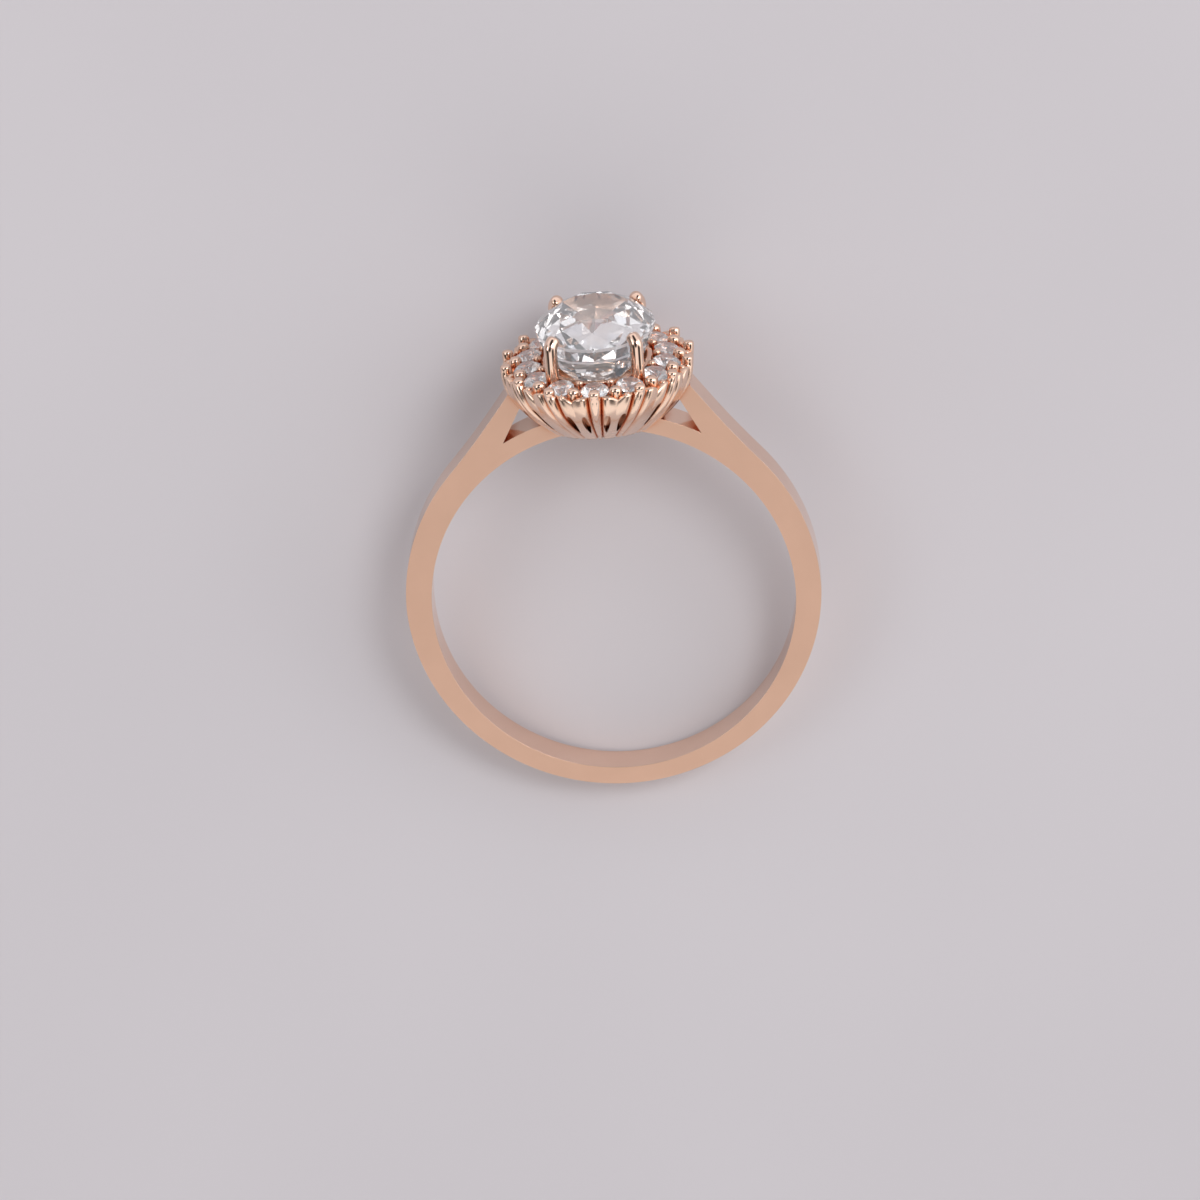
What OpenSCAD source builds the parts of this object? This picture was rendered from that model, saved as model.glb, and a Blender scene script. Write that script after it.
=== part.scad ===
// Halo ring: an oval centre stone on four claws, fourteen side stones around it, and a fluted, pierced basket
// on a plain band with straight open shoulders.
// Everything is drawn upright about the finger hole first: X to the right, Y along the finger, Z to the head.
// The module lay() then puts it down on its side, as a loose ring comes to rest on a table.
// Millimetres, +Z up, origin on the table under the middle of the ring's outline.

/* [Band] */
// Radius of the finger hole
hole_r = 8.25; // [7:0.05:11]
// Width of the band along the finger
band_w = 1.86; // [1.4:0.02:4]
// Metal thickness at the bottom of the band
bottom_t = 0.8; // [0.6:0.05:2]
// Metal thickness at the sides of the band
side_t = 1.16; // [0.8:0.02:2.5]
// Metal thickness of the arc under the head
arc_t = 0.77; // [0.5:0.01:1.5]
// Angle from the head at which the shoulders start to rise
shoulder_from = 50; // [35:1:70]
// Angle from the head at which the shoulders end in the basket
shoulder_to = 22; // [15:0.5:30]
// How far the shoulders rise above the band
shoulder_rise = 1.42; // [0.5:0.02:3]
// Angle from the head of the windows' outer corners
window_to = 29.6; // [20:0.2:40]

/* [Basket] */
// Height of the basket's base above the top of the finger hole
base_up = 0.06; // [0:0.01:0.6]
// Height of the basket from its base to its rim
basket_h = 2.94; // [2:0.01:5]
// Half width of the base, across the finger
base_a = 2.56; // [1:0.01:4]
// Half length of the base, along the finger
base_b = 2.28; // [1:0.01:5]
// Half width of the rim, across the finger
rim_a = 4.3; // [2:0.01:8]
// Half length of the rim, along the finger
rim_b = 5.11; // [2:0.01:9]
// How full the side of the basket is, smaller is fuller
wall_round = 1; // [0.4:0.05:1.5]
// Thickness of the basket's wall at the crest of a rib
wall_t = 0.5; // [0.3:0.02:0.8]
// Depth of the grooves between the ribs
rib_t = 0.3; // [0:0.01:0.4]
// Depth of the notches in the rim, between the side stones
notch = 0.15; // [0:0.01:0.6]
// Half width of a slot, as a share of the distance between two ribs
slot_share = 0.18; // [0.1:0.01:0.2]

/* [Side stones] */
// Number of side stones
stones = 14; // [14:1:14]
// Radius of a side stone
side_r = 0.63; // [0.3:0.01:1.5]
// How far the side stones sit inside the rim, across the finger
row_in_a = 1.1; // [0.8:0.01:1.6]
// How far the side stones sit inside the rim, along the finger
row_in_b = 0.96; // [0.7:0.01:1.6]
// Height of the side stones' girdles above the rim
row_up = 0.05; // [-0.2:0.01:0.3]
// Outward lean of the side stones
row_lean = 13; // [0:1:30]

/* [Centre stone] */
// Half width of the centre stone, across the finger
centre_a = 2.7; // [1:0.05:6]
// Half length of the centre stone, along the finger
centre_b = 3.5; // [1:0.05:7]
// Height of the centre stone's girdle above the rim
centre_up = 1.65; // [1:0.01:3]

/* [Prongs and claws] */
// Height of the tips of the prongs above the side stones' girdles
tip_up = 0.3; // [0.15:0.01:0.6]
// Radius of the large outer prongs
prong_r = 0.26; // [0.1:0.01:0.6]
// Radius of the claws of the centre stone
claw_r = 0.3; // [0.15:0.01:0.8]
// Gap between a stone and the metal that holds it
gap = 0.03; // [0.02:0.01:0.1]

/* [Hidden] */
rose_gold = [0.86, 0.62, 0.5];
clear_stone = [0.93, 0.93, 0.95, 0.6];
ribs = 2 * stones;
// The sites are spread so that they are evenly spaced along the oval, and gathered towards the base
spread = 4.1;
gather = 13;
arc_r = hole_r + arc_t;
bottom_r = hole_r + bottom_t;
// Height of the windows and of the room cut above them, and how far that room leans out
window_h = 1.7;
window_room = 3;
window_out = 0.22;
// Heights above the middle of the finger hole
base_z = hole_r + base_up;
rim_z = base_z + basket_h;
row_z = rim_z + row_up;
centre_z = rim_z + centre_up;
tip_z = row_z + tip_up;
// Oval of the side stones
row_a = rim_a - row_in_a;
row_b = rim_b - row_in_b;
// Oval of the large outer prongs
prong_a = row_a + side_r + prong_r + gap;
prong_b = row_b + side_r + prong_r + gap;
// Oval of the broad prongs between the stones, their radius and their length
mid_out = 0.5;
mid_r = 0.29;
mid_h = 0.75;
// Oval of the thin low prongs, their radius, their length and the height of their tips
thin_out = 0.82;
thin_r = 0.15;
thin_h = 0.45;
thin_down = 0.28;
thin_z = tip_z - thin_down;
// Sites of the first thin prongs to either side of the front
thin_site = 1.45;
// Oval of the inner prongs, their radius and their length
inner_in = 0.52;
inner_r = 0.18;
inner_h = 0.6;
// Seat plate under the side stones
plate_down = 0.16;
plate_z = row_z - plate_down;
plate_t = 0.34;
plate_in = 0.4;
// Collar inside the side stones, how far it stands off them, and how far it reaches above and below
collar_off = 0.1;
collar_a = row_a - side_r - collar_off;
collar_b = row_b - side_r - collar_off;
collar_t = 0.26;
collar_wall = 0.234;
collar_up = 0.12;
collar_down = 0.1;
collar_z = row_z + collar_up;
// Hole under each side stone, as a share of the stone's radius, and its depth
drill_share = 0.45;
drill_h = 1;
// Feet of the claws as shares of the centre stone's half width and half length
claw_share = [0.7074, 0.82];
claw_x = claw_share[0] * centre_a;
claw_y = claw_share[1] * centre_b;
// Length and lean of the claws' hooks, and how far above the girdle the claws bend
hook = 0.52;
hook_lean = 48;
bend_up = 0.05;
bend_z = centre_z + bend_up;
// Proportions of a cut stone, as shares of its half width
table_share = 0.57;
crown_h = 0.34;
girdle_h = 0.05;
pavilion_h = 0.8;
// Fuller pavilion of the centre stone: share and depth of its belly, of its main facets and of its point
belly = [0.82, 0.47];
deep_main = [0.42, 0.86];
deep_point = 1;
// Slots of the basket, by the number of the groove that each one is cut in
slots = [0, 1, 3, 10, 12, 13, 14, 15, 17, 24, 26, 27];
// Rows of the basket's wall, as shares of its height, and how wide the slots are at each row
rows = [0, 0.08, 0.16, 0.24, 0.32, 0.42, 0.52, 0.61, 0.69, 0.85, 1];
slot_shape = [0, 0, 0, 0.1, 0.45, 0.75, 0.95, 0.8, 0.2, 0, 0];
// The first and the last row of the slots
slot_rows = [for (k = [0 : len(rows) - 1]) if (slot_shape[k] > 0) k];
slot_low = slot_rows[0];
slot_high = slot_rows[len(slot_rows) - 1];
// Places across a pair of ribs, as shares of the distance between two ribs: the flank of a post, the groove
// beside it, the middle of a lobe and half the width of the seam there
post_x = 0.2;
groove_x = 0.28;
lobe_x = 0.59;
seam = 0.015;
// How far the posts stand out of the wall, how much less their flanks do, and the valleys between two lobes
post_out = 0.07;
post_side = 0.06;
valley = 0.12;
valley_from = 0.6;
// Share of the wall's height above which the grooves fade, and what is left of them at the rim
fade_from = 0.7;
fade_to = 0.75;
// Thickness of the rim
rim_t = 0.36;
// Lean of the large prongs, their length and the width of their roots
prong_lean = 16;
prong_h = 1.5;
root = 0.45;

// Lean at which the band's low edge and the rearmost large prong touch the table together
touch_y = prong_b + prong_r * cos(prong_lean) - 0.8 * prong_r * sin(prong_lean);
touch_z = tip_z - prong_r * sin(prong_lean) - 0.8 * prong_r * cos(prong_lean);
rest_lean = atan2(touch_y - band_w / 2, touch_z + bottom_r);
drop = band_w / 2 * cos(rest_lean) + bottom_r * sin(rest_lean);
table_z = centre_z + crown_h * centre_a;
shift_y = ((table_z * cos(rest_lean) + table_share * centre_b * sin(rest_lean)) - bottom_r) / 2;

// Angle of a site on the ovals, counted in ribs from the side that faces up
function site(q) = 360 * q / ribs + spread * sin(720 * q / ribs);
function low_site(q, u) = site(q) - gather * pow(1 - u, 0.8) * sin(720 * q / ribs);
function oval(a, b, t) = [a * sin(t), -b * cos(t)];

// Thickness of the band at an angle from the head
function band_t(t) =
    t >= 90 ? bottom_t + (side_t - bottom_t) * (1 - cos(180 - t))
    : t >= shoulder_from ? side_t + 0.08 * side_t * (90 - t) / (90 - shoulder_from)
    : 1.08 * side_t + shoulder_rise * pow((shoulder_from - t) / (shoulder_from - shoulder_to), 2.3);
function polar(r, t) = [r * sin(t), r * cos(t)];

// Half width and half length of the basket at a share of its height
function swell(u) = pow(sin(min(90, 97 * u)), wall_round);
function wall_a(u) = base_a + (rim_a - base_a) * swell(u);
function wall_b(u) = base_b + (rim_b - base_b) * swell(u);
function wall_z(u) = base_z + (rim_z - base_z) * u;

// The ring laid down on its side
module lay() {
    translate([0, -shift_y, drop])
        rotate([rest_lean - 90, 0, 0])
            children();
}

// Outline of the band seen along the finger, with the shoulders and without the hole
module band_outline() {
    right = [for (t = [shoulder_to : 4 : 178]) polar(hole_r + band_t(t), t)];
    left = [for (p = right) [-p[0], p[1]]];
    difference() {
        polygon(concat(right, [for (i = [len(left) - 1 : -1 : 0]) left[i]]));
        head_gap();
    }
}

// The open space between the shoulders, above the arc under the head
module head_gap() {
    low = polar(arc_r, window_to);
    high = [low[0] * 0.8, low[1] + window_h];
    over = [high[0] + window_out, high[1] + window_room];
    arc = [for (t = [-window_to : window_to / 8 : window_to]) polar(arc_r, t)];
    polygon(concat(arc, [high, over, [-over[0], over[1]], [-high[0], high[1]]]));
}

module band() {
    difference() {
        rotate([90, 0, 0])
            linear_extrude(band_w, center = true)
                band_outline();
        rotate([90, 0, 0])
            cylinder(h = 4 * band_w, r = hole_r, center = true, $fn = 180);
    }
}

// Ten lines of points run up each pair of ribs: a post, its two grooves, and the edges and the valley of the two
// lobes. The slots are cut between the edges, so the edges move apart where a slot is open.
lines = 10;
function slot_w(g, k) = seam + slot_share * slot_shape[k] * len(search(g, slots));
function line_x(i, j, k) =
    let (a = slot_w(2 * i, k), b = slot_w(2 * i + 1, k), far = 2 - lobe_x)
    [0, post_x, groove_x, lobe_x - a, lobe_x + a, 1, far - b, far + b, 2 - groove_x, 2 - post_x][j];
function relief(x, u) =
    let (crest = post_out * (0.4 + 0.6 * u), deep = rib_t * fade(u, fade_to))
    lookup(min(x, 2 - x), [[0, crest], [post_x, crest - post_side], [groove_x, -deep], [lobe_x, 0],
        [1, -valley * lookup(u, [[valley_from, 0], [1, 1]])]]);

// What is left of something that fades above fade_from, at a share of the wall's height
function fade(u, end) = u < fade_from ? 1 : 1 - (1 - end) * (u - fade_from) / (1 - fade_from);
function rim_drop(x) = notch * pow(max(0, (min(x, 2 - x) - lobe_x) / (1 - lobe_x)), 2);

// One point of the basket's wall: side 0 is the outside and side 1 the inside
function wall_point(side, k, i, j) =
    let (
        u = rows[k],
        x = line_x(i, j, k),
        out = side == 0 ? relief(x, u) : -wall_t * fade(u, rim_t / wall_t),
        p = oval(wall_a(u) + out, wall_b(u) + out, low_site(2 * i + x, u)),
        lift = side == 1 && k < len(rows) - 1 ? 0.3 * wall_t : 0,
        down = k == len(rows) - 1 ? rim_drop(x) : k == len(rows) - 2 ? 0.4 * rim_drop(x) : 0
    )
    [p[0], p[1], wall_z(u) + lift - down];

// The fluted wall of the basket with its slots left open
module basket_wall() {
    m = lines;
    n = stones * m;
    last = len(rows) - 1;
    points = [for (side = [0, 1]) for (k = [0 : last]) for (c = [0 : n - 1])
        wall_point(side, k, floor(c / m), c % m)];
    function at(side, k, c) = (side * (last + 1) + k) * n + c % n;
    function slot_at(g) = floor(g / 2) * m + (g % 2 == 0 ? 3 : 6);
    cuts = [for (g = slots) slot_at(g)];
    function open(k, c) = k >= slot_low && k < slot_high && len(search(c, cuts)) > 0;
    outside = [for (k = [0 : last - 1]) for (c = [0 : n - 1]) if (!open(k, c))
        each [[at(0, k, c), at(0, k + 1, c + 1), at(0, k, c + 1)],
            [at(0, k, c), at(0, k + 1, c), at(0, k + 1, c + 1)]]];
    inside = [for (k = [0 : last - 1]) for (c = [0 : n - 1]) if (!open(k, c))
        each [[at(1, k, c), at(1, k, c + 1), at(1, k + 1, c + 1)],
            [at(1, k, c), at(1, k + 1, c + 1), at(1, k + 1, c)]]];
    ends = [for (c = [0 : n - 1])
        each [[at(0, 0, c), at(0, 0, c + 1), at(1, 0, c + 1)],
            [at(0, 0, c), at(1, 0, c + 1), at(1, 0, c)],
            [at(0, last, c), at(1, last, c + 1), at(0, last, c + 1)],
            [at(0, last, c), at(1, last, c), at(1, last, c + 1)]]];
    sides = [for (c = cuts) for (k = [slot_low : slot_high - 1])
        let (d = c + 1)
        each [[at(0, k, c), at(0, k + 1, c), at(1, k + 1, c)],
            [at(0, k, c), at(1, k + 1, c), at(1, k, c)],
            [at(0, k, d), at(1, k + 1, d), at(0, k + 1, d)],
            [at(0, k, d), at(1, k, d), at(1, k + 1, d)]]];
    sills = [for (c = cuts)
        let (d = c + 1)
        each [[at(0, slot_low, c), at(1, slot_low, d), at(0, slot_low, d)],
            [at(0, slot_low, c), at(1, slot_low, c), at(1, slot_low, d)],
            [at(0, slot_high, c), at(0, slot_high, d), at(1, slot_high, d)],
            [at(0, slot_high, c), at(1, slot_high, d), at(1, slot_high, c)]]];
    polyhedron(points, concat(outside, inside, ends, sides, sills), convexity = 10);
}

// A flat oval, with its points at the same sites as the ribs
module oval_plate(a, b) {
    polygon([for (q = [0 : 0.5 : ribs - 0.5]) oval(a, b, site(q))]);
}

// Plate that carries the side stones, and the collar inside them
module seat() {
    translate([0, 0, plate_z - plate_t])
        linear_extrude(plate_t)
            difference() {
                oval_plate(rim_a - plate_in, rim_b - plate_in);
                oval_plate(collar_a - collar_t, collar_b - collar_t);
            }
    translate([0, 0, plate_z - plate_t - collar_down])
        linear_extrude(collar_z - plate_z + plate_t + collar_down)
            difference() {
                oval_plate(collar_a, collar_b);
                oval_plate(collar_a - collar_wall, collar_b - collar_wall);
            }
}

// A round post with a blunt, rounded tip; foot is the width of its root as a share of its own
module prong(r, h, foot = 1) {
    rotate_extrude($fn = 20)
        polygon([[0, 0], [foot * r, 0], [r, 0.6 * h], [r, h - 0.8 * r], [0.78 * r, h - 0.3 * r],
            [0.38 * r, h], [0, h]]);
}

// A prong that ends at height z, on an oval, at a site, with its tip leaning outwards
module prong_at(a, b, q, r, h, z, lean, foot = 1) {
    p = oval(a, b, site(q));
    translate([p[0], p[1], z])
        rotate([0, lean, atan2(p[1], p[0])])
            translate([0, 0, -h])
                prong(r, h, foot);
}

module prongs() {
    for (i = [0 : stones - 1]) {
        prong_at(prong_a, prong_b, 2 * i, prong_r, prong_h, tip_z, prong_lean, root);
        prong_at(row_a + mid_out, row_b + mid_out, 2 * i + 1, mid_r, mid_h, tip_z, 6);
        prong_at(row_a - inner_in, row_b - inner_in, 2 * i + 1, inner_r, inner_h, tip_z, 0);
    }
    for (i = [0 : stones / 2 - 1])
        for (way = [1, -1])
            prong_at(row_a + thin_out, row_b + thin_out, way * (2 * i + thin_site), thin_r, thin_h, thin_z, 10);
}

// One claw of the centre stone: a straight post and a hook over the stone's edge
module claw() {
    foot = plate_z - plate_t;
    overlap = 0.4 * claw_r;
    translate([claw_x, claw_y, foot])
        cylinder(h = bend_z - foot + overlap, r = claw_r, $fn = 20);
    translate([claw_x, claw_y, bend_z])
        rotate([0, -hook_lean, atan2(claw_y, claw_x)])
            translate([0, 0, -overlap])
                prong(1.04 * claw_r, hook + overlap);
}

module claws() {
    for (sx = [0, 1])
        for (sy = [0, 1])
            mirror([sx, 0, 0])
                mirror([0, sy, 0])
                    claw();
}

// A cut stone with its girdle at zero: a and b are its half width and half length. The pavilion passes the
// rings of 16 corners in low, then the ring of its main facets, and ends in a point at the depth deep.
module cut_stone(a, b, low = [], main = [0.25, 0.62], deep = pavilion_h) {
    h = min(a, b);
    off = cos(180 / 8);
    star = 0.5 + 0.5 * table_share;
    star_z = crown_h * (1 - star * off) / (1 - table_share);
    function ring(s, z, n, turn) = [for (i = [0 : n - 1])
        let (t = 360 * (i + turn) / n) [s * a * cos(t), s * b * sin(t), z * h]];
    points = concat(
        ring(table_share, crown_h, 8, 0.5),
        ring(star, star_z, 8, 0),
        ring(1, girdle_h / 2, 16, 0),
        ring(1, -girdle_h / 2, 16, 0),
        [for (r = low) each ring(r[0], -r[1], 16, 0)],
        ring(main[0], -main[1], 8, 0),
        [[0, 0, -deep * h]]);
    n = len(low) + 1;
    function tb(i) = (i + 8) % 8;
    function st(i) = 8 + i % 8;
    function belt(k, i) = 16 + 16 * k + (i + 16) % 16;
    function up(i) = belt(0, i);
    function lo(i) = belt(n, i);
    function pv(i) = 32 + 16 * n + i % 8;
    point = 40 + 16 * n;
    faces = concat(
        [[for (i = [0 : 7]) tb(i)]],
        [for (i = [0 : 7]) each [
            [st(i), tb(i), tb(i - 1)],
            [tb(i), st(i), up(2 * i + 1)],
            [tb(i), up(2 * i + 1), st(i + 1)],
            [st(i), up(2 * i), up(2 * i + 1)],
            [st(i), up(2 * i - 1), up(2 * i)],
            [lo(2 * i), pv(i), lo(2 * i + 1)],
            [lo(2 * i - 1), pv(i), lo(2 * i)],
            [lo(2 * i + 1), pv(i), pv(i + 1)],
            [point, pv(i + 1), pv(i)]]],
        [for (k = [0 : n - 1]) for (i = [0 : 15]) each [
            [belt(k, i), belt(k + 1, i), belt(k + 1, i + 1)],
            [belt(k, i), belt(k + 1, i + 1), belt(k, i + 1)]]]);
    polyhedron(points, [for (f = faces) [for (i = [len(f) - 1 : -1 : 0]) f[i]]], convexity = 4);
}

// The centre stone, or the room for it when it is made larger
module centre_stone(extra = 0) {
    translate([0, 0, centre_z])
        cut_stone(centre_a + extra, centre_b + extra, [belly], deep_main, deep_point);
}

// Puts a side stone, or its seat, at its place on the oval
module at_side(i) {
    p = oval(row_a, row_b, site(2 * i));
    translate([p[0], p[1], row_z])
        rotate([0, row_lean, atan2(p[1] / row_b, p[0] / row_a)])
            children();
}

// Room for one side stone with a gap all round, and the open hole below it
module side_seat() {
    r = side_r + gap;
    g = 0.5 * girdle_h * side_r + gap;
    hole = drill_share * side_r;
    tip = pavilion_h * side_r + 2 * gap;
    rotate_extrude($fn = 32)
        polygon([[0, -drill_h], [hole, -drill_h], [hole, -g - (tip - g) * (1 - hole / r)], [r, -g], [r, g],
            [table_share * side_r + gap, crown_h * side_r + gap], [0, crown_h * side_r + gap]]);
}

// Seat plate, prongs and claws, cut so that every stone has its place
module carved_top() {
    difference() {
        union() {
            seat();
            prongs();
            claws();
        }
        for (i = [0 : stones - 1])
            at_side(i)
                side_seat();
        centre_stone(gap);
    }
}

module setting() {
    color(rose_gold)
        lay()
            union() {
                band();
                basket_wall();
                carved_top();
            }
}

module halo_stone(i) {
    color(clear_stone)
        lay()
            at_side(i)
                cut_stone(side_r, side_r);
}

setting();
color(clear_stone) lay() centre_stone();
halo_stone(0);  // halo_stone_01
halo_stone(1);  // halo_stone_02
halo_stone(2);  // halo_stone_03
halo_stone(3);  // halo_stone_04
halo_stone(4);  // halo_stone_05
halo_stone(5);  // halo_stone_06
halo_stone(6);  // halo_stone_07
halo_stone(7);  // halo_stone_08
halo_stone(8);  // halo_stone_09
halo_stone(9);  // halo_stone_10
halo_stone(10);  // halo_stone_11
halo_stone(11);  // halo_stone_12
halo_stone(12);  // halo_stone_13
halo_stone(13);  // halo_stone_14
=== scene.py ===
# Looks of the halo ring: rose gold metal, a clear oval stone and its clear side stones, on a pale floor.
import math

import bmesh
import bpy
import numpy as np
from mathutils import Matrix, Vector
from mathutils.geometry import tessellate_polygon


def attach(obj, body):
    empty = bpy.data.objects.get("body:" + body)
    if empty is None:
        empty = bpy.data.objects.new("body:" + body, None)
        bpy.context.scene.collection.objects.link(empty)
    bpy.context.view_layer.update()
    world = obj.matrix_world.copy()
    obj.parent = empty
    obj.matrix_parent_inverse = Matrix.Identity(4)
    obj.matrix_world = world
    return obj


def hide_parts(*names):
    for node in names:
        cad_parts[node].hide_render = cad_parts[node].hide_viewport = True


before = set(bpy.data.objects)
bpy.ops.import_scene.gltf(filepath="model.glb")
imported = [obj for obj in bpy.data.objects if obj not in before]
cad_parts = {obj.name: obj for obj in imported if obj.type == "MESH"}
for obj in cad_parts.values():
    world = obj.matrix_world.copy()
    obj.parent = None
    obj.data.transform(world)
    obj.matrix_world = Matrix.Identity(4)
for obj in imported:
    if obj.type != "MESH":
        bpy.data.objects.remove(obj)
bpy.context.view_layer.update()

# Sizes in millimetres, the same as the model's, with the ring upright: Z to the head, Y along the finger
HOLE_R, BAND_W, BOTTOM_T, SIDE_T, ARC_T = 8.25, 1.86, 0.8, 1.16, 0.77
SHOULDER_FROM, SHOULDER_TO, SHOULDER_RISE, WINDOW_TO = 50, 22, 1.42, 29.6
BASE_Z, RIM_Z, BASE_A, BASE_B, RIM_A, RIM_B = 8.31, 11.25, 2.56, 2.28, 4.3, 5.11
WALL_T, RIB_T, NOTCH, SLOT_SHARE, RIM_T = 0.5, 0.3, 0.15, 0.18, 0.36
STONES, SIDE_R, ROW_A, ROW_B, ROW_Z, ROW_LEAN = 14, 0.63, 3.2, 4.15, 11.3, 13
CENTRE_A, CENTRE_B, CENTRE_Z = 2.7, 3.5, 12.9
TIP_Z, PRONG_R, CLAW_R, GAP = 11.6, 0.26, 0.3, 0.03
SPREAD, GATHER, RIBS = 4.1, 13, 28
GROOVE_X, LOBE_X, SEAM, POST_OUT, VALLEY, FADE_FROM, FADE_TO = 0.28, 0.59, 0.015, 0.07, 0.12, 0.7, 0.75
PRONG_LEAN, MID_LEAN, THIN_LEAN = 16, 6, 10
MID_OUT, MID_R, THIN_OUT, THIN_R, INNER_IN, INNER_R = 0.5, 0.29, 0.82, 0.15, 0.52, 0.18
THIN_Z = TIP_Z - 0.28
MID_H, THIN_H, INNER_H, THIN_SITE = 0.75, 0.45, 0.6, 1.45
PLATE_Z, PLATE_T, COLLAR_T = ROW_Z - 0.16, 0.34, 0.26
COLLAR_A, COLLAR_B, COLLAR_Z = ROW_A - SIDE_R - 0.1, ROW_B - SIDE_R - 0.1, ROW_Z + 0.12
CLAW_X, CLAW_Y, HOOK, HOOK_LEAN, BEND_Z = 1.91, 2.87, 0.52, 48, CENTRE_Z + 0.05
TABLE_SHARE, CROWN_H, GIRDLE_H, PAVILION_H = 0.57, 0.34, 0.05, 0.8
SLOTS = [0, 1, 3, 10, 12, 13, 14, 15, 17, 24, 26, 27]
SLOT_LOW, SLOT_HIGH = 0.24, 0.69

# How the ring lies: the same lean and height above the table as the model's
PRONG_A, PRONG_B = ROW_A + SIDE_R + PRONG_R + GAP, ROW_B + SIDE_R + PRONG_R + GAP
lean_tip = math.radians(PRONG_LEAN)
touch_y = PRONG_B + PRONG_R * math.cos(lean_tip) - 0.8 * PRONG_R * math.sin(lean_tip)
touch_z = TIP_Z - PRONG_R * math.sin(lean_tip) - 0.8 * PRONG_R * math.cos(lean_tip)
BOTTOM_R = HOLE_R + BOTTOM_T
LEAN = math.atan2(touch_y - BAND_W / 2, touch_z + BOTTOM_R)
DROP = BAND_W / 2 * math.cos(LEAN) + BOTTOM_R * math.sin(LEAN)
table_z = CENTRE_Z + CROWN_H * CENTRE_A
SHIFT_Y = (table_z * math.cos(LEAN) + TABLE_SHARE * CENTRE_B * math.sin(LEAN) - BOTTOM_R) / 2
TURN = np.array([[1, 0, 0],
                 [0, math.sin(LEAN), math.cos(LEAN)],
                 [0, -math.cos(LEAN), math.sin(LEAN)]])


def lay(points):
    """Upright millimetres to the lying ring's metres."""
    return (np.asarray(points, float) @ TURN.T + [0, -SHIFT_Y, DROP]) / 1000


def site(q):
    return 360 * q / RIBS + SPREAD * np.sin(np.radians(720 * q / RIBS))


def low_site(q, u):
    return site(q) - GATHER * (1 - u) ** 0.8 * np.sin(np.radians(720 * q / RIBS))


def oval(a, b, t):
    return a * np.sin(np.radians(t)), -b * np.cos(np.radians(t))


# Materials
def new_material(name, **values):
    m = bpy.data.materials.new(name)
    m.use_nodes = True
    shader = m.node_tree.nodes["Principled BSDF"]
    for key, value in values.items():
        shader.inputs[key.replace("_", " ")].default_value = value
    return m, m.node_tree, shader


def noise(tree, coords, scale, detail=3.0, rough=0.5):
    n = tree.nodes.new("ShaderNodeTexNoise")
    n.inputs["Scale"].default_value = scale
    n.inputs["Detail"].default_value = detail
    n.inputs["Roughness"].default_value = rough
    tree.links.new(coords, n.inputs["Vector"])
    return n.outputs["Fac"]


def ramp(tree, fac, stops):
    r = tree.nodes.new("ShaderNodeValToRGB")
    r.color_ramp.elements[0].position, r.color_ramp.elements[0].color = stops[0][0], (*stops[0][1], 1)
    r.color_ramp.elements[1].position, r.color_ramp.elements[1].color = stops[-1][0], (*stops[-1][1], 1)
    for pos, col in stops[1:-1]:
        r.color_ramp.elements.new(pos).color = (*col, 1)
    tree.links.new(fac, r.inputs["Fac"])
    return r.outputs["Color"]


def times(tree, a, b):
    mix = tree.nodes.new("ShaderNodeMix")
    mix.data_type, mix.blend_type = "RGBA", "MULTIPLY"
    mix.inputs["Factor"].default_value = 1
    tree.links.new(a, mix.inputs["A"])
    tree.links.new(b, mix.inputs["B"])
    return mix.outputs["Result"]


def remap(tree, fac, low, high):
    r = tree.nodes.new("ShaderNodeMapRange")
    r.inputs["From Min"].default_value, r.inputs["From Max"].default_value = 0.3, 0.7
    r.inputs["To Min"].default_value, r.inputs["To Max"].default_value = low, high
    tree.links.new(fac, r.inputs["Value"])
    return r.outputs["Result"]


def gold(name, colours, rough, grain, grain_scale, depth):
    """Rose gold: a slightly uneven colour and shine, with a fine grain in its surface, and painted shade in its
    hollows.
    """
    m, tree, shader = new_material(name, Metallic=1.0)
    coords = tree.nodes.new("ShaderNodeTexCoord").outputs["Object"]
    cloud = ramp(tree, noise(tree, coords, 420, 4), [(0.3, colours[0]), (0.7, colours[1])])
    # Painted shade: ambient occlusion darkens the colour to orange-brown in hollows, grooves and corners.
    hollow_shade = tree.nodes.new("ShaderNodeAmbientOcclusion")
    hollow_shade.samples = 6
    hollow_shade.inputs["Distance"].default_value = 0.0005
    deep = ramp(tree, hollow_shade.outputs["AO"], [(0.3, (0.75, 0.42, 0.26)), (0.85, (1, 1, 1))])
    tree.links.new(times(tree, cloud, deep), shader.inputs["Base Color"])
    tree.links.new(remap(tree, noise(tree, coords, 900, 5, 0.6), *rough), shader.inputs["Roughness"])
    bump = tree.nodes.new("ShaderNodeBump")
    bump.inputs["Strength"].default_value = grain
    bump.inputs["Distance"].default_value = depth
    tree.links.new(noise(tree, coords, grain_scale, 3), bump.inputs["Height"])
    tree.links.new(bump.outputs["Normal"], shader.inputs["Normal"])
    return m


POLISHED = gold("rose_gold_polished", [(0.9, 0.64, 0.5), (0.94, 0.69, 0.55)], (0.07, 0.13), 0.25, 2600, 0.000004)
SOFT = gold("rose_gold_soft", [(0.86, 0.62, 0.48), (0.91, 0.67, 0.53)], (0.2, 0.3), 0.3, 4000, 0.000004)
SATIN = gold("rose_gold_satin", [(0.71, 0.457, 0.335), (0.745, 0.48, 0.354)], (0.4, 0.44), 0.5, 9000, 0.000006)


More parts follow.
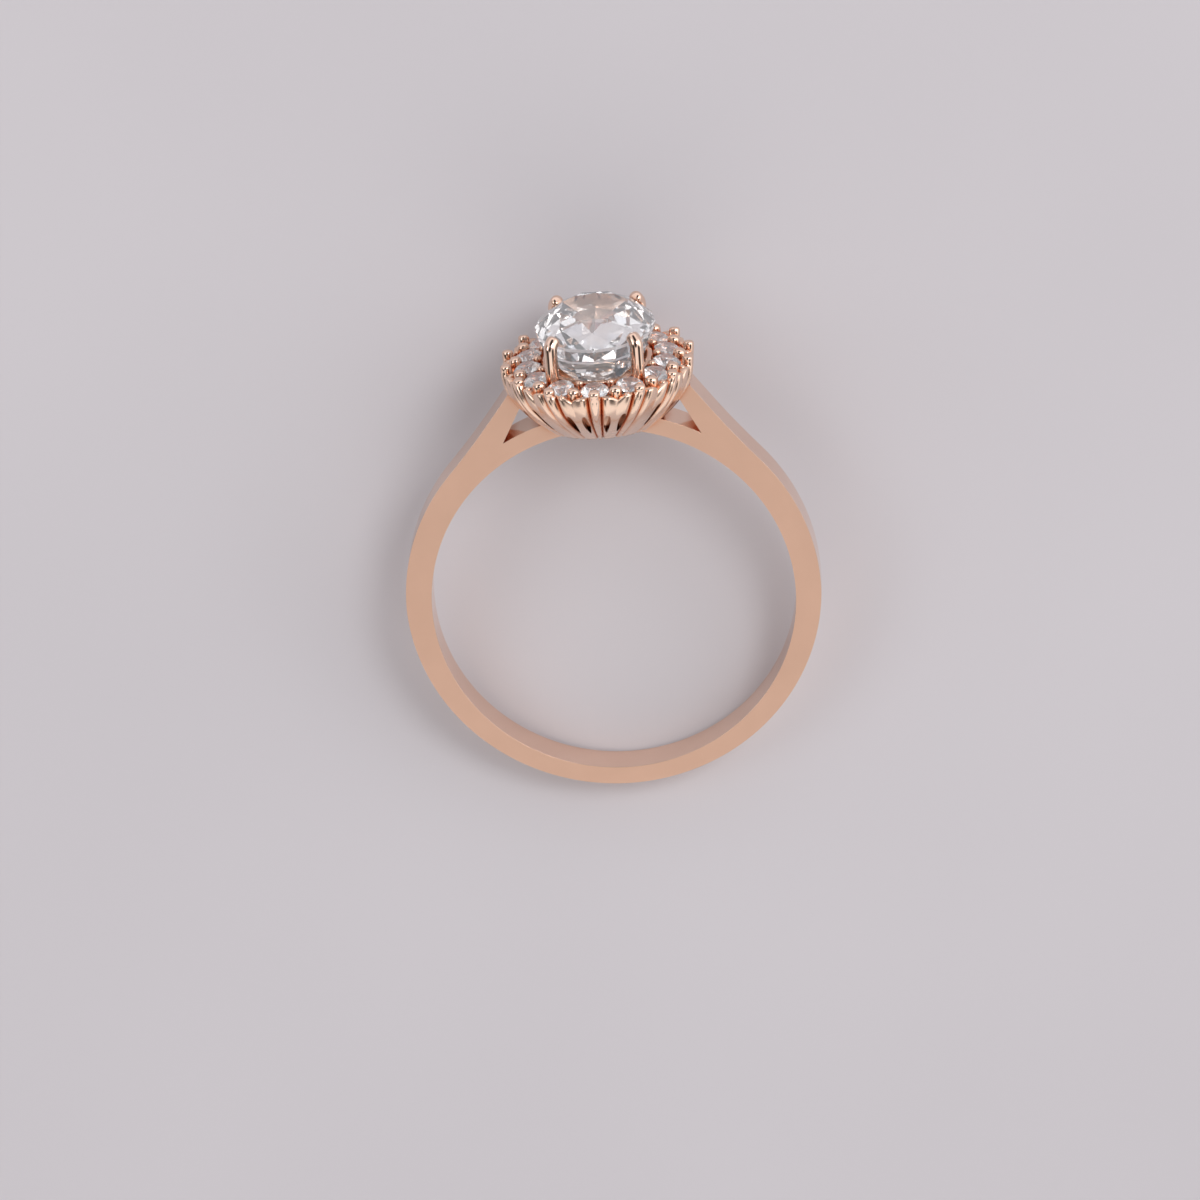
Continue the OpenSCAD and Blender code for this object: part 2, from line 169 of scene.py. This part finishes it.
def gem(name, ior, clear, glow, flash_tints):
    """Clear stone with a faint painted glow: its facets take a faint tint by the way they face, as painted colour
    flashes.
    """
    # Painted light: a faint bluish-white emission makes the stone glow.
    m, tree, shader = new_material(name, Roughness=0.0, IOR=ior, Transmission_Weight=clear,
                                   Emission_Color=(0.95, 0.96, 1, 1), Emission_Strength=glow)
    # Painted colour flashes: each facet turns bluish, white or warm by the way it faces in the world.
    geometry = tree.nodes.new("ShaderNodeNewGeometry")
    turn = tree.nodes.new("ShaderNodeVectorMath")
    turn.operation = "SCALE"
    turn.inputs["Scale"].default_value = 2.3
    tree.links.new(geometry.outputs["True Normal"], turn.inputs[0])
    painted_flash = noise(tree, turn.outputs[0], 1.6, 2)
    tree.links.new(ramp(tree, painted_flash, flash_tints), shader.inputs["Base Color"])
    return m


# Each stone's last two values: the strength of its painted glow, and the tints of its painted colour flashes.
CLEAR = gem("clear_oval", 2.0, 0.96, 0.025, [(0.3, (0.8, 0.88, 1.0)), (0.42, (1, 1, 1)), (0.58, (1, 0.99, 0.97)),
                                              (0.68, (0.97, 0.86, 0.8)), (0.8, (0.93, 0.88, 1.0))])
SMALL = gem("clear_round", 1.9, 0.93, 0.04, [(0.3, (0.88, 0.92, 1.0)), (0.5, (1, 1, 1)), (0.75, (1.0, 0.93, 0.88))])


# Meshes, with an edge sharp from this angle in degrees
SHARP = 40


def put(name, points, faces, materials, angle=SHARP):
    """A piece of the setting from upright points."""
    mesh = bpy.data.meshes.new(name)
    mesh.from_pydata([tuple(p) for p in lay(points)], [], [tuple(int(i) for i in f) for f in faces])
    mesh.validate()
    for m in materials:
        mesh.materials.append(m)
    mesh.shade_smooth()
    mesh.set_sharp_from_angle(angle=math.radians(angle))
    piece = bpy.data.objects.new(name, mesh)
    bpy.context.scene.collection.objects.link(piece)
    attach(piece, "root")
    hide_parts("setting")
    return piece


def baked(piece):
    """Applies the piece's modifiers to its mesh."""
    bpy.context.view_layer.update()
    graph = bpy.context.evaluated_depsgraph_get()
    mesh = bpy.data.meshes.new_from_object(piece.evaluated_get(graph))
    piece.modifiers.clear()
    piece.data = mesh


def cut(piece, tools):
    for tool in tools:
        m = piece.modifiers.new("cut", "BOOLEAN")
        m.operation, m.solver, m.object = "DIFFERENCE", "EXACT", tool
    baked(piece)
    piece.data.shade_smooth()
    piece.data.set_sharp_from_angle(angle=math.radians(SHARP))


# Band with its shoulders and the arc under the head
def band_t(t):
    if t >= 90:
        return BOTTOM_T + (SIDE_T - BOTTOM_T) * (1 - math.cos(math.radians(180 - t)))
    if t >= SHOULDER_FROM:
        return SIDE_T + 0.08 * SIDE_T * (90 - t) / (90 - SHOULDER_FROM)
    return 1.08 * SIDE_T + SHOULDER_RISE * ((SHOULDER_FROM - t) / (SHOULDER_FROM - SHOULDER_TO)) ** 2.3


def polar(r, t):
    return r * math.sin(math.radians(t)), r * math.cos(math.radians(t))


def make_band():
    arc_r = HOLE_R + ARC_T
    low = polar(arc_r, WINDOW_TO)
    high = (low[0] * 0.8, low[1] + 1.7)
    top = polar(HOLE_R + band_t(SHOULDER_TO), SHOULDER_TO)
    edge = (high[0] + 0.22 * (top[1] - high[1]) / 3, top[1])
    right = [polar(arc_r, WINDOW_TO * k / 12) for k in range(1, 12)] + [low, high, edge]
    right += [polar(HOLE_R + band_t(t), t) for t in np.arange(SHOULDER_TO, 179, 2)]
    outer = [polar(arc_r, 0)] + right + [polar(BOTTOM_R, 180)] + [(-x, z) for x, z in reversed(right)]
    hole = [polar(HOLE_R, -360 * k / 180) for k in range(180)]
    flat = tessellate_polygon([[Vector((x, z, 0)) for x, z in loop] for loop in (outer, hole)])
    ring = outer + hole
    n, w = len(ring), BAND_W / 2
    points = [(x, -w, z) for x, z in ring] + [(x, w, z) for x, z in ring]
    faces = [tuple(f) for f in flat] + [tuple(n + i for i in reversed(f)) for f in flat]
    for start, loop in ((0, outer), (len(outer), hole)):
        for i in range(len(loop)):
            a, b = start + i, start + (i + 1) % len(loop)
            faces.append((a, a + n, b + n, b))
    piece = put("band", points, faces, [POLISHED, SATIN], angle=180)
    made = bmesh.new()
    made.from_mesh(piece.data)
    bmesh.ops.recalc_face_normals(made, faces=made.faces)
    made.to_mesh(piece.data)
    made.free()
    m = piece.modifiers.new("edges", "BEVEL")
    m.width, m.segments, m.limit_method, m.angle_limit = 0.00007, 3, "ANGLE", math.radians(35)
    m.harden_normals = True
    piece.data.shade_smooth()
    baked(piece)
    along = TURN @ np.array([0, 1.0, 0])
    normals = np.zeros(len(piece.data.polygons) * 3, np.float32)
    piece.data.polygons.foreach_get("normal", normals)
    satin = np.abs(normals.reshape(-1, 3) @ along) > 0.97
    piece.data.polygons.foreach_set("material_index", satin.astype(np.int32))
    return piece


# Basket: posts, and between them pairs of lobes with arched slots
SWELL = 97


def wall_oval(u):
    """Half widths of the wall's oval at a share of its height."""
    swell = math.sin(math.radians(min(90, SWELL * u)))
    return BASE_A + (RIM_A - BASE_A) * swell, BASE_B + (RIM_B - BASE_B) * swell


def post_out(u):
    return POST_OUT * (0.4 + 0.6 * u)


def valley(x):
    return np.clip((x - LOBE_X) / (1 - LOBE_X), 0, 1) ** 1.7


def fade(u, end):
    return np.where(u < FADE_FROM, 1, 1 - (1 - end) * (u - FADE_FROM) / (1 - FADE_FROM))


def slot_w(g, u):
    if g not in SLOTS or not SLOT_LOW <= u <= SLOT_HIGH:
        return SEAM
    v = (u - SLOT_LOW) / (SLOT_HIGH - SLOT_LOW)
    return SEAM + SLOT_SHARE * max(0.0, math.sin(math.pi * v ** 1.5)) ** 0.45


def relief(x, u):
    """How far the wall stands out at a place across two ribs: a round post and two lobes with a valley."""
    x = np.minimum(x % 2, 2 - x % 2)
    deep = RIB_T * float(fade(u, FADE_TO))
    top = post_out(u)
    post = -deep + (deep + top) * np.sqrt(np.clip(1 - (x / GROOVE_X) ** 2, 0, 1))
    rise = np.clip((x - GROOVE_X) / (LOBE_X - GROOVE_X), 0, 1)
    lobe = -deep * (1 - rise) ** 2.6
    lobe = lobe - VALLEY * np.interp(u, [0.55, 1], [0, 1]) * valley(x)
    return np.where(x < GROOVE_X, post, lobe)


def rim_drop(x, u):
    """How far the rim dips between two lobes."""
    x = np.minimum(x % 2, 2 - x % 2)
    return (NOTCH + 0.03) * valley(x) * float(np.interp(u, [0.75, 1], [0, 1]))


def pair_lines(i, u):
    """Places of the wall's points across two ribs, drawn apart where a slot opens."""
    a, b, far = slot_w(2 * i, u), slot_w(2 * i + 1, u), 2 - LOBE_X
    half = GROOVE_X * np.sin(np.radians(np.linspace(0, 90, 6)))
    ease = (1 - np.cos(np.radians(np.linspace(0, 180, 7)))) / 2
    parts = [half, GROOVE_X + (LOBE_X - a - GROOVE_X) * ease[1:], LOBE_X + a + (1 - LOBE_X - a) * ease,
             1 + (far - b - 1) * ease[1:], far + b + (2 - GROOVE_X - far - b) * ease, 2 - half[::-1][1:-1]]
    return np.concatenate(parts)


# The columns of points that the two slots of a pair open at
CUT_A, CUT_B = 11, 24


def make_basket():
    us = np.concatenate([np.linspace(0, SLOT_LOW, 8), np.linspace(SLOT_LOW, SLOT_HIGH, 27)[1:],
                         np.linspace(SLOT_HIGH, 0.96, 9)[1:], [0.975, 0.99, 1.0]])
    m = len(pair_lines(0, 0.0))
    rows, cols = len(us), STONES * m
    points = []
    for side in (0, 1):
        for u in us:
            a, b = wall_oval(u)
            z = BASE_Z + (RIM_Z - BASE_Z) * u
            round_rim = 0.06 * (1 - math.sqrt(1 - min(1, max(0, (u - 0.96) / 0.04)) ** 2))
            for i in range(STONES):
                x = pair_lines(i, u)
                out = relief(x, u) - round_rim if side == 0 else -WALL_T * fade(u, RIM_T / WALL_T) + round_rim
                px, py = oval(a + out, b + out, low_site(2 * i + x, u))
                lift = 0.3 * WALL_T * min(1, (1 - u) / 0.13) if side == 1 else 0
                points.append(np.stack([px, py, z + lift - rim_drop(x, u)], 1))
    points = np.concatenate(points)

    def at(side, k, c):
        return (side * rows + k) * cols + c % cols

    low = int(np.argmin(np.abs(us - SLOT_LOW)))
    high = int(np.argmin(np.abs(us - SLOT_HIGH)))
    cuts = {g // 2 * m + (CUT_B if g % 2 else CUT_A) for g in SLOTS}
    faces = []
    for k in range(rows - 1):
        for c in range(cols):
            if c in cuts and low <= k < high:
                faces.append((at(0, k, c), at(0, k + 1, c), at(1, k + 1, c), at(1, k, c)))
                faces.append((at(0, k, c + 1), at(1, k, c + 1), at(1, k + 1, c + 1), at(0, k + 1, c + 1)))
                continue
            faces.append((at(0, k, c), at(0, k, c + 1), at(0, k + 1, c + 1), at(0, k + 1, c)))
            faces.append((at(1, k, c), at(1, k + 1, c), at(1, k + 1, c + 1), at(1, k, c + 1)))
    for c in range(cols):
        faces.append((at(0, 0, c), at(1, 0, c), at(1, 0, c + 1), at(0, 0, c + 1)))
        faces.append((at(0, rows - 1, c), at(0, rows - 1, c + 1), at(1, rows - 1, c + 1), at(1, rows - 1, c)))
    for c in cuts:
        faces.append((at(0, low, c), at(0, low, c + 1), at(1, low, c + 1), at(1, low, c)))
        faces.append((at(0, high, c), at(1, high, c), at(1, high, c + 1), at(0, high, c + 1)))
    return put("basket", points, faces, [SOFT], angle=55)


# Round things: posts, seats and their cutters
def skin(rows, steps):
    """Faces of a closed solid from rows of points around it."""
    faces = []
    for j in range(rows - 1):
        for k in range(steps):
            a, b = j * steps + k, j * steps + (k + 1) % steps
            faces.append((a, b, b + steps, a + steps))
    faces.append(tuple(reversed(range(steps))))
    faces.append(tuple((rows - 1) * steps + k for k in range(steps)))
    return faces


def lathe(profile, steps):
    """Points and faces of a closed solid turned about Z, from a list of radius and height."""
    points = []
    for r, z in profile:
        points += [(r * math.cos(2 * math.pi * k / steps), r * math.sin(2 * math.pi * k / steps), z)
                   for k in range(steps)]
    return np.array(points), skin(len(profile), steps)


def prong_profile(r, h):
    dome = [(r * math.cos(math.radians(t)) ** 0.8, h - 0.8 * r + 0.8 * r * math.sin(math.radians(t)))
            for t in (0, 15, 30, 45, 58, 70, 80, 86)]
    return [(r, 0), (r, 0.3 * h), (r, 0.6 * h)] + dome


def turned(points, tilt, spin, place):
    """Tilts points about Y, spins them about Z and moves them."""
    c, s = math.cos(math.radians(tilt)), math.sin(math.radians(tilt))
    points = points @ np.array([[c, 0, -s], [0, 1, 0], [s, 0, c]])
    c, s = math.cos(spin), math.sin(spin)
    points = points @ np.array([[c, s, 0], [-s, c, 0], [0, 0, 1]])
    return points + np.array(place)


def gather_up(parts):
    points, faces, n = [], [], 0
    for p, f in parts:
        points.append(p)
        faces += [tuple(i + n for i in face) for face in f]
        n += len(p)
    return np.concatenate(points), faces


def prong_row(a, b, qs, r, h, tip, tilt):
    """A prong at each site of an oval."""
    parts = []
    for q in qs:
        p, f = lathe(prong_profile(r, h), 24)
        x, y = oval(a, b, site(q))
        parts.append((turned(p - [0, 0, h], tilt, math.atan2(y, x), (x, y, tip)), f))
    return gather_up(parts)


def tube(line, steps, turn):
    """Points and faces of a round bar along a line of centre and radius."""
    centres = np.array([c for c, r in line], float)
    points = []
    for j, (c, r) in enumerate(line):
        ahead = centres[min(j + 1, len(line) - 1)] - centres[max(j - 1, 0)]
        ahead /= np.linalg.norm(ahead)
        side = np.cross(ahead, [math.sin(turn), -math.cos(turn), 0.0])
        side /= np.linalg.norm(side)
        other = np.cross(ahead, side)
        for k in range(steps):
            w = 2 * math.pi * k / steps
            points.append(np.array(c) + r * (side * math.cos(w) + other * math.sin(w)))
    return np.array(points), skin(len(line), steps)


def rib_prongs(qs):
    """The large prongs: each one grows out of its rib, stands up past the rim and ends in a rounded tip."""
    parts = []
    for q in qs:
        line = []
        for u in np.linspace(0.5, 1, 9):
            r = 0.1 + (PRONG_R - 0.11) * ((u - 0.5) / 0.5) ** 0.7
            out = post_out(u) - r - 0.05 + 0.07 * (u - 0.5) / 0.5
            a, b = wall_oval(u)
            x, y = oval(a + out, b + out, low_site(q, u))
            line.append(((x, y, BASE_Z + (RIM_Z - BASE_Z) * u), r))
        x, y = oval(PRONG_A + 0.03, PRONG_B + 0.03, site(q))
        foot = np.array(line[-1][0])
        top = np.array([x, y, TIP_Z])
        r = PRONG_R - 0.01
        for share, width in ((0.3, 1), (0.55, 1), (0.72, 0.96), (0.84, 0.86), (0.93, 0.68), (0.98, 0.42), (1, 0.2)):
            line.append((foot + (top - foot) * share, r * width))
        parts.append(tube(line, 20, math.radians(site(q))))
    return gather_up(parts)


def side_places():
    for i in range(STONES):
        x, y = oval(ROW_A, ROW_B, site(2 * i))
        yield math.atan2(y / ROW_B, x / ROW_A), (x, y, ROW_Z)


def seat_tool():
    r, g = SIDE_R + GAP, 0.5 * GIRDLE_H * SIDE_R + GAP
    hole, tip = 0.45 * SIDE_R, PAVILION_H * SIDE_R + 2 * GAP
    profile = [(hole, -1), (hole, -g - (tip - g) * (1 - hole / r)), (r, -g), (r, g),
               (TABLE_SHARE * SIDE_R + GAP, CROWN_H * SIDE_R + GAP)]
    one, one_faces = lathe(profile, 32)
    parts = [(turned(one, ROW_LEAN, spin, place), one_faces) for spin, place in side_places()]
    points, faces = gather_up(parts)
    mesh = bpy.data.meshes.new("seat_tool")
    mesh.from_pydata([tuple(p) for p in lay(points)], [], faces)
    tool = bpy.data.objects.new("seat_tool", mesh)
    bpy.context.scene.collection.objects.link(tool)
    return tool


def make_seat():
    ring = [(RIM_A - 0.8 * WALL_T, RIM_B - 0.8 * WALL_T, PLATE_Z - PLATE_T),
            (RIM_A - 0.8 * WALL_T, RIM_B - 0.8 * WALL_T, PLATE_Z),
            (COLLAR_A, COLLAR_B, PLATE_Z), (COLLAR_A, COLLAR_B, COLLAR_Z - 0.04),
            (COLLAR_A - 0.05, COLLAR_B - 0.05, COLLAR_Z),
            (COLLAR_A - 0.85 * COLLAR_T, COLLAR_B - 0.85 * COLLAR_T, COLLAR_Z),
            (COLLAR_A - 0.95 * COLLAR_T, COLLAR_B - 0.95 * COLLAR_T, COLLAR_Z - 0.04),
            (COLLAR_A - 0.95 * COLLAR_T, COLLAR_B - 0.95 * COLLAR_T, PLATE_Z - PLATE_T - 0.1),
            (COLLAR_A, COLLAR_B, PLATE_Z - PLATE_T - 0.1), (COLLAR_A, COLLAR_B, PLATE_Z - PLATE_T)]
    steps, points, faces = 112, [], []
    for a, b, z in ring:
        x, y = oval(a, b, site(np.arange(steps) * RIBS / steps))
        points.append(np.stack([x, y, np.full(steps, z)], 1))
    for j in range(len(ring)):
        for k in range(steps):
            a, b = j * steps + k, j * steps + (k + 1) % steps
            c = (j + 1) % len(ring) * steps
            faces.append((a, b, c + (k + 1) % steps, c + k))
    return put("seat", np.concatenate(points), faces, [POLISHED])


def claw(sx, sy):
    """One claw: a straight round wire that bends in over the stone and ends in a bead."""
    foot = PLATE_Z - PLATE_T
    spin = math.atan2(CLAW_Y, CLAW_X)
    inward = np.array([-math.cos(spin), -math.sin(spin), 0])
    bend_r = 0.34
    reach = bend_r * math.tan(math.radians(HOOK_LEAN / 2))
    start = BEND_Z - reach
    line = [(0, foot, 0), (0, 0.5 * (foot + start), 0)]
    line += [(bend_r * (1 - math.cos(math.radians(t))), start + bend_r * math.sin(math.radians(t)), t)
             for t in np.linspace(0, HOOK_LEAN, 7)]
    s, c = math.sin(math.radians(HOOK_LEAN)), math.cos(math.radians(HOOK_LEAN))
    x, z = line[-1][0], line[-1][1]
    left = HOOK - reach
    radii = [CLAW_R] * len(line)
    for share, r in ((0.35, 1.02), (0.6, 1.0), (0.78, 0.9), (0.9, 0.72), (0.97, 0.48), (1.0, 0.2)):
        line.append((x + s * left * share, z + c * left * share, HOOK_LEAN))
        radii.append(CLAW_R * r)
    steps, points = 24, []
    for (d, h, t), r in zip(line, radii):
        t = math.radians(t)
        for k in range(steps):
            w = 2 * math.pi * k / steps
            across, out = r * math.sin(w), r * math.cos(w)
            base = np.array([CLAW_X, CLAW_Y, h]) + inward * d
            p = base + inward * out * math.cos(t) + np.array([-inward[1], inward[0], 0]) * across
            p = p + np.array([0, 0, -out * math.sin(t)])
            points.append((p[0] * sx, p[1] * sy, p[2]))
    faces = skin(len(line), steps)
    if sx * sy > 0:
        faces = [tuple(reversed(f)) for f in faces]
    return np.array(points), faces


def stone_tool():
    """The centre stone, a little larger, to notch the claws with."""
    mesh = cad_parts["centre_stone"].data.copy()
    co = np.array([v.co for v in mesh.vertices])
    middle = (co.min(0) + co.max(0)) / 2
    for v in mesh.vertices:
        v.co = Vector(middle + (np.array(v.co) - middle) * 1.012)
    made = bmesh.new()
    made.from_mesh(mesh)
    bmesh.ops.remove_doubles(made, verts=made.verts, dist=1e-7)
    bmesh.ops.recalc_face_normals(made, faces=made.faces)
    made.to_mesh(mesh)
    made.free()
    tool = bpy.data.objects.new("stone_tool", mesh)
    bpy.context.scene.collection.objects.link(tool)
    return tool


make_band()
make_basket()
tool = seat_tool()
seat = make_seat()
cut(seat, [tool])
even, odd = 2 * np.arange(STONES), 2 * np.arange(STONES) + 1
steps_round = 2 * np.arange(STONES // 2)
thin_sites = np.concatenate([THIN_SITE + steps_round, -THIN_SITE - steps_round])
big = put("prongs", *rib_prongs(even), [POLISHED])
mid = put("posts", *prong_row(ROW_A + MID_OUT, ROW_B + MID_OUT, odd, MID_R, MID_H, TIP_Z, MID_LEAN), [POLISHED])
thin = put("low_prongs", *prong_row(ROW_A + THIN_OUT, ROW_B + THIN_OUT, thin_sites, THIN_R, THIN_H, THIN_Z, THIN_LEAN),
           [POLISHED])
inner = put("inner_prongs", *prong_row(ROW_A - INNER_IN, ROW_B - INNER_IN, odd, INNER_R, INNER_H, TIP_Z, 0),
            [POLISHED])
for piece in (big, mid, thin, inner):
    cut(piece, [tool])
claws = put("claws", *gather_up([claw(sx, sy) for sx in (1, -1) for sy in (1, -1)]), [POLISHED])
notch_tool = stone_tool()
cut(claws, [notch_tool])
for t in (tool, notch_tool):
    bpy.data.objects.remove(t)

# The stones keep their cut and get a clear material
for name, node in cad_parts.items():
    if name == "setting":
        continue
    for place in node.material_slots:
        place.material = CLEAR if name == "centre_stone" else SMALL

# Floor
floor_mesh = bpy.data.meshes.new("floor")
size = 1.5
floor_mesh.from_pydata([(-size, -size, 0), (size, -size, 0), (size, size, 0), (-size, size, 0)], [], [(0, 1, 2, 3)])
floor = bpy.data.objects.new("floor", floor_mesh)
bpy.context.scene.collection.objects.link(floor)
paper, tree, shader = new_material("pale_floor", Roughness=0.9)
coords = tree.nodes.new("ShaderNodeTexCoord").outputs["Object"]
tree.links.new(ramp(tree, noise(tree, coords, 30, 2), [(0.3, (0.66, 0.63, 0.655)), (0.7, (0.69, 0.66, 0.685))]),
               shader.inputs["Base Color"])
floor_mesh.materials.append(paper)

# Camera at the photograph's angle to the ring
AZ, EL, ROLL, DIST = math.radians(3.0), math.radians(21.83), math.radians(4.13), 291.18
PHOTO, FOCAL, MIDDLE = 1200, 6412.57, (614.316, 592.517)
back = np.array([math.sin(AZ) * math.cos(EL), -math.cos(AZ) * math.cos(EL), math.sin(EL)])
right = np.array([math.cos(AZ), math.sin(AZ), 0])
up = np.cross(back, right)
x_axis = right * math.cos(ROLL) - up * math.sin(ROLL)
y_axis = right * math.sin(ROLL) + up * math.cos(ROLL)
camera_data = bpy.data.cameras.new("camera")
camera_data.sensor_width = 36
camera_data.lens = FOCAL / PHOTO * camera_data.sensor_width
camera_data.shift_x = -(MIDDLE[0] - PHOTO / 2) / PHOTO
camera_data.shift_y = -(PHOTO / 2 - MIDDLE[1]) / PHOTO
camera_data.clip_start = 0.01
camera = bpy.data.objects.new("camera", camera_data)
bpy.context.scene.collection.objects.link(camera)
axes = [Vector(TURN @ v) for v in (x_axis, y_axis, back)]
camera.matrix_world = Matrix.Translation(Vector(lay([back * DIST])[0])) @ Matrix(axes).transposed().to_4x4()
bpy.context.scene.camera = camera


# Soft lights, and a pale room with dark areas and a bright window for the metal to mirror
def soft_light(name, place, size, watts):
    data = bpy.data.lights.new(name, "AREA")
    data.shape, data.size, data.energy = "DISK", size, watts
    lamp = bpy.data.objects.new(name, data)
    bpy.context.scene.collection.objects.link(lamp)
    lamp.location = place
    lamp.rotation_euler = (-Vector(place)).to_track_quat("-Z", "Y").to_euler()


soft_light("key", (0.16, 0.12, 0.30), 0.14, 0.28)
soft_light("fill", (-0.25, 0.05, 0.22), 0.16, 0.1)
world = bpy.data.worlds.new("room")
world.use_nodes = True
bpy.context.scene.world = world
tree = world.node_tree
way = tree.nodes.new("ShaderNodeTexCoord").outputs["Generated"]


def towards(az, el):
    """A direction around the ring, from the angle off its front and the height above its hole."""
    az, el = math.radians(az), math.radians(el)
    return TURN @ np.array([math.sin(az) * math.cos(el), -math.cos(az) * math.cos(el), math.sin(el)])


def facing(az, el):
    dot = tree.nodes.new("ShaderNodeVectorMath")
    dot.operation = "DOT_PRODUCT"
    dot.inputs[1].default_value = tuple(towards(az, el))
    tree.links.new(way, dot.inputs[0])
    return dot.outputs["Value"]


half = tree.nodes.new("ShaderNodeMapRange")
half.inputs["From Min"].default_value = -1
tree.links.new(facing(0, 90), half.inputs["Value"])
walls = ramp(tree, half.outputs["Result"], [(0.0, (0.95, 0.93, 0.93)), (0.38, (0.95, 0.93, 0.93)),
                                            (0.5, (0.7, 0.69, 0.71)), (1.0, (0.9, 0.89, 0.92))])
DARK, WHITE = (0.05, 0.045, 0.045), (1, 1, 1)
room = walls
for az, el, outside, inside, colour in ((-8, 12, 0.91, 0.955, DARK), (-80, 5, 0.8, 0.95, (0.2, 0.19, 0.19)),
                                        (68, 16, 0.88, 0.93, (2.1, 2.07, 2.04)), (-44, -14, 0.93, 0.965, DARK),
                                        (44, -14, 0.93, 0.965, DARK), (0, 54, 0.92, 0.96, DARK)):
    area = ramp(tree, facing(az, el), [(0.0, WHITE), (outside, WHITE), (inside, colour)])
    room = times(tree, room, area)
tree.links.new(room, tree.nodes["Background"].inputs["Color"])
tree.nodes["Background"].inputs["Strength"].default_value = 1.1
bpy.context.scene.view_settings.view_transform = "Standard"

bpy.context.view_layer.update()
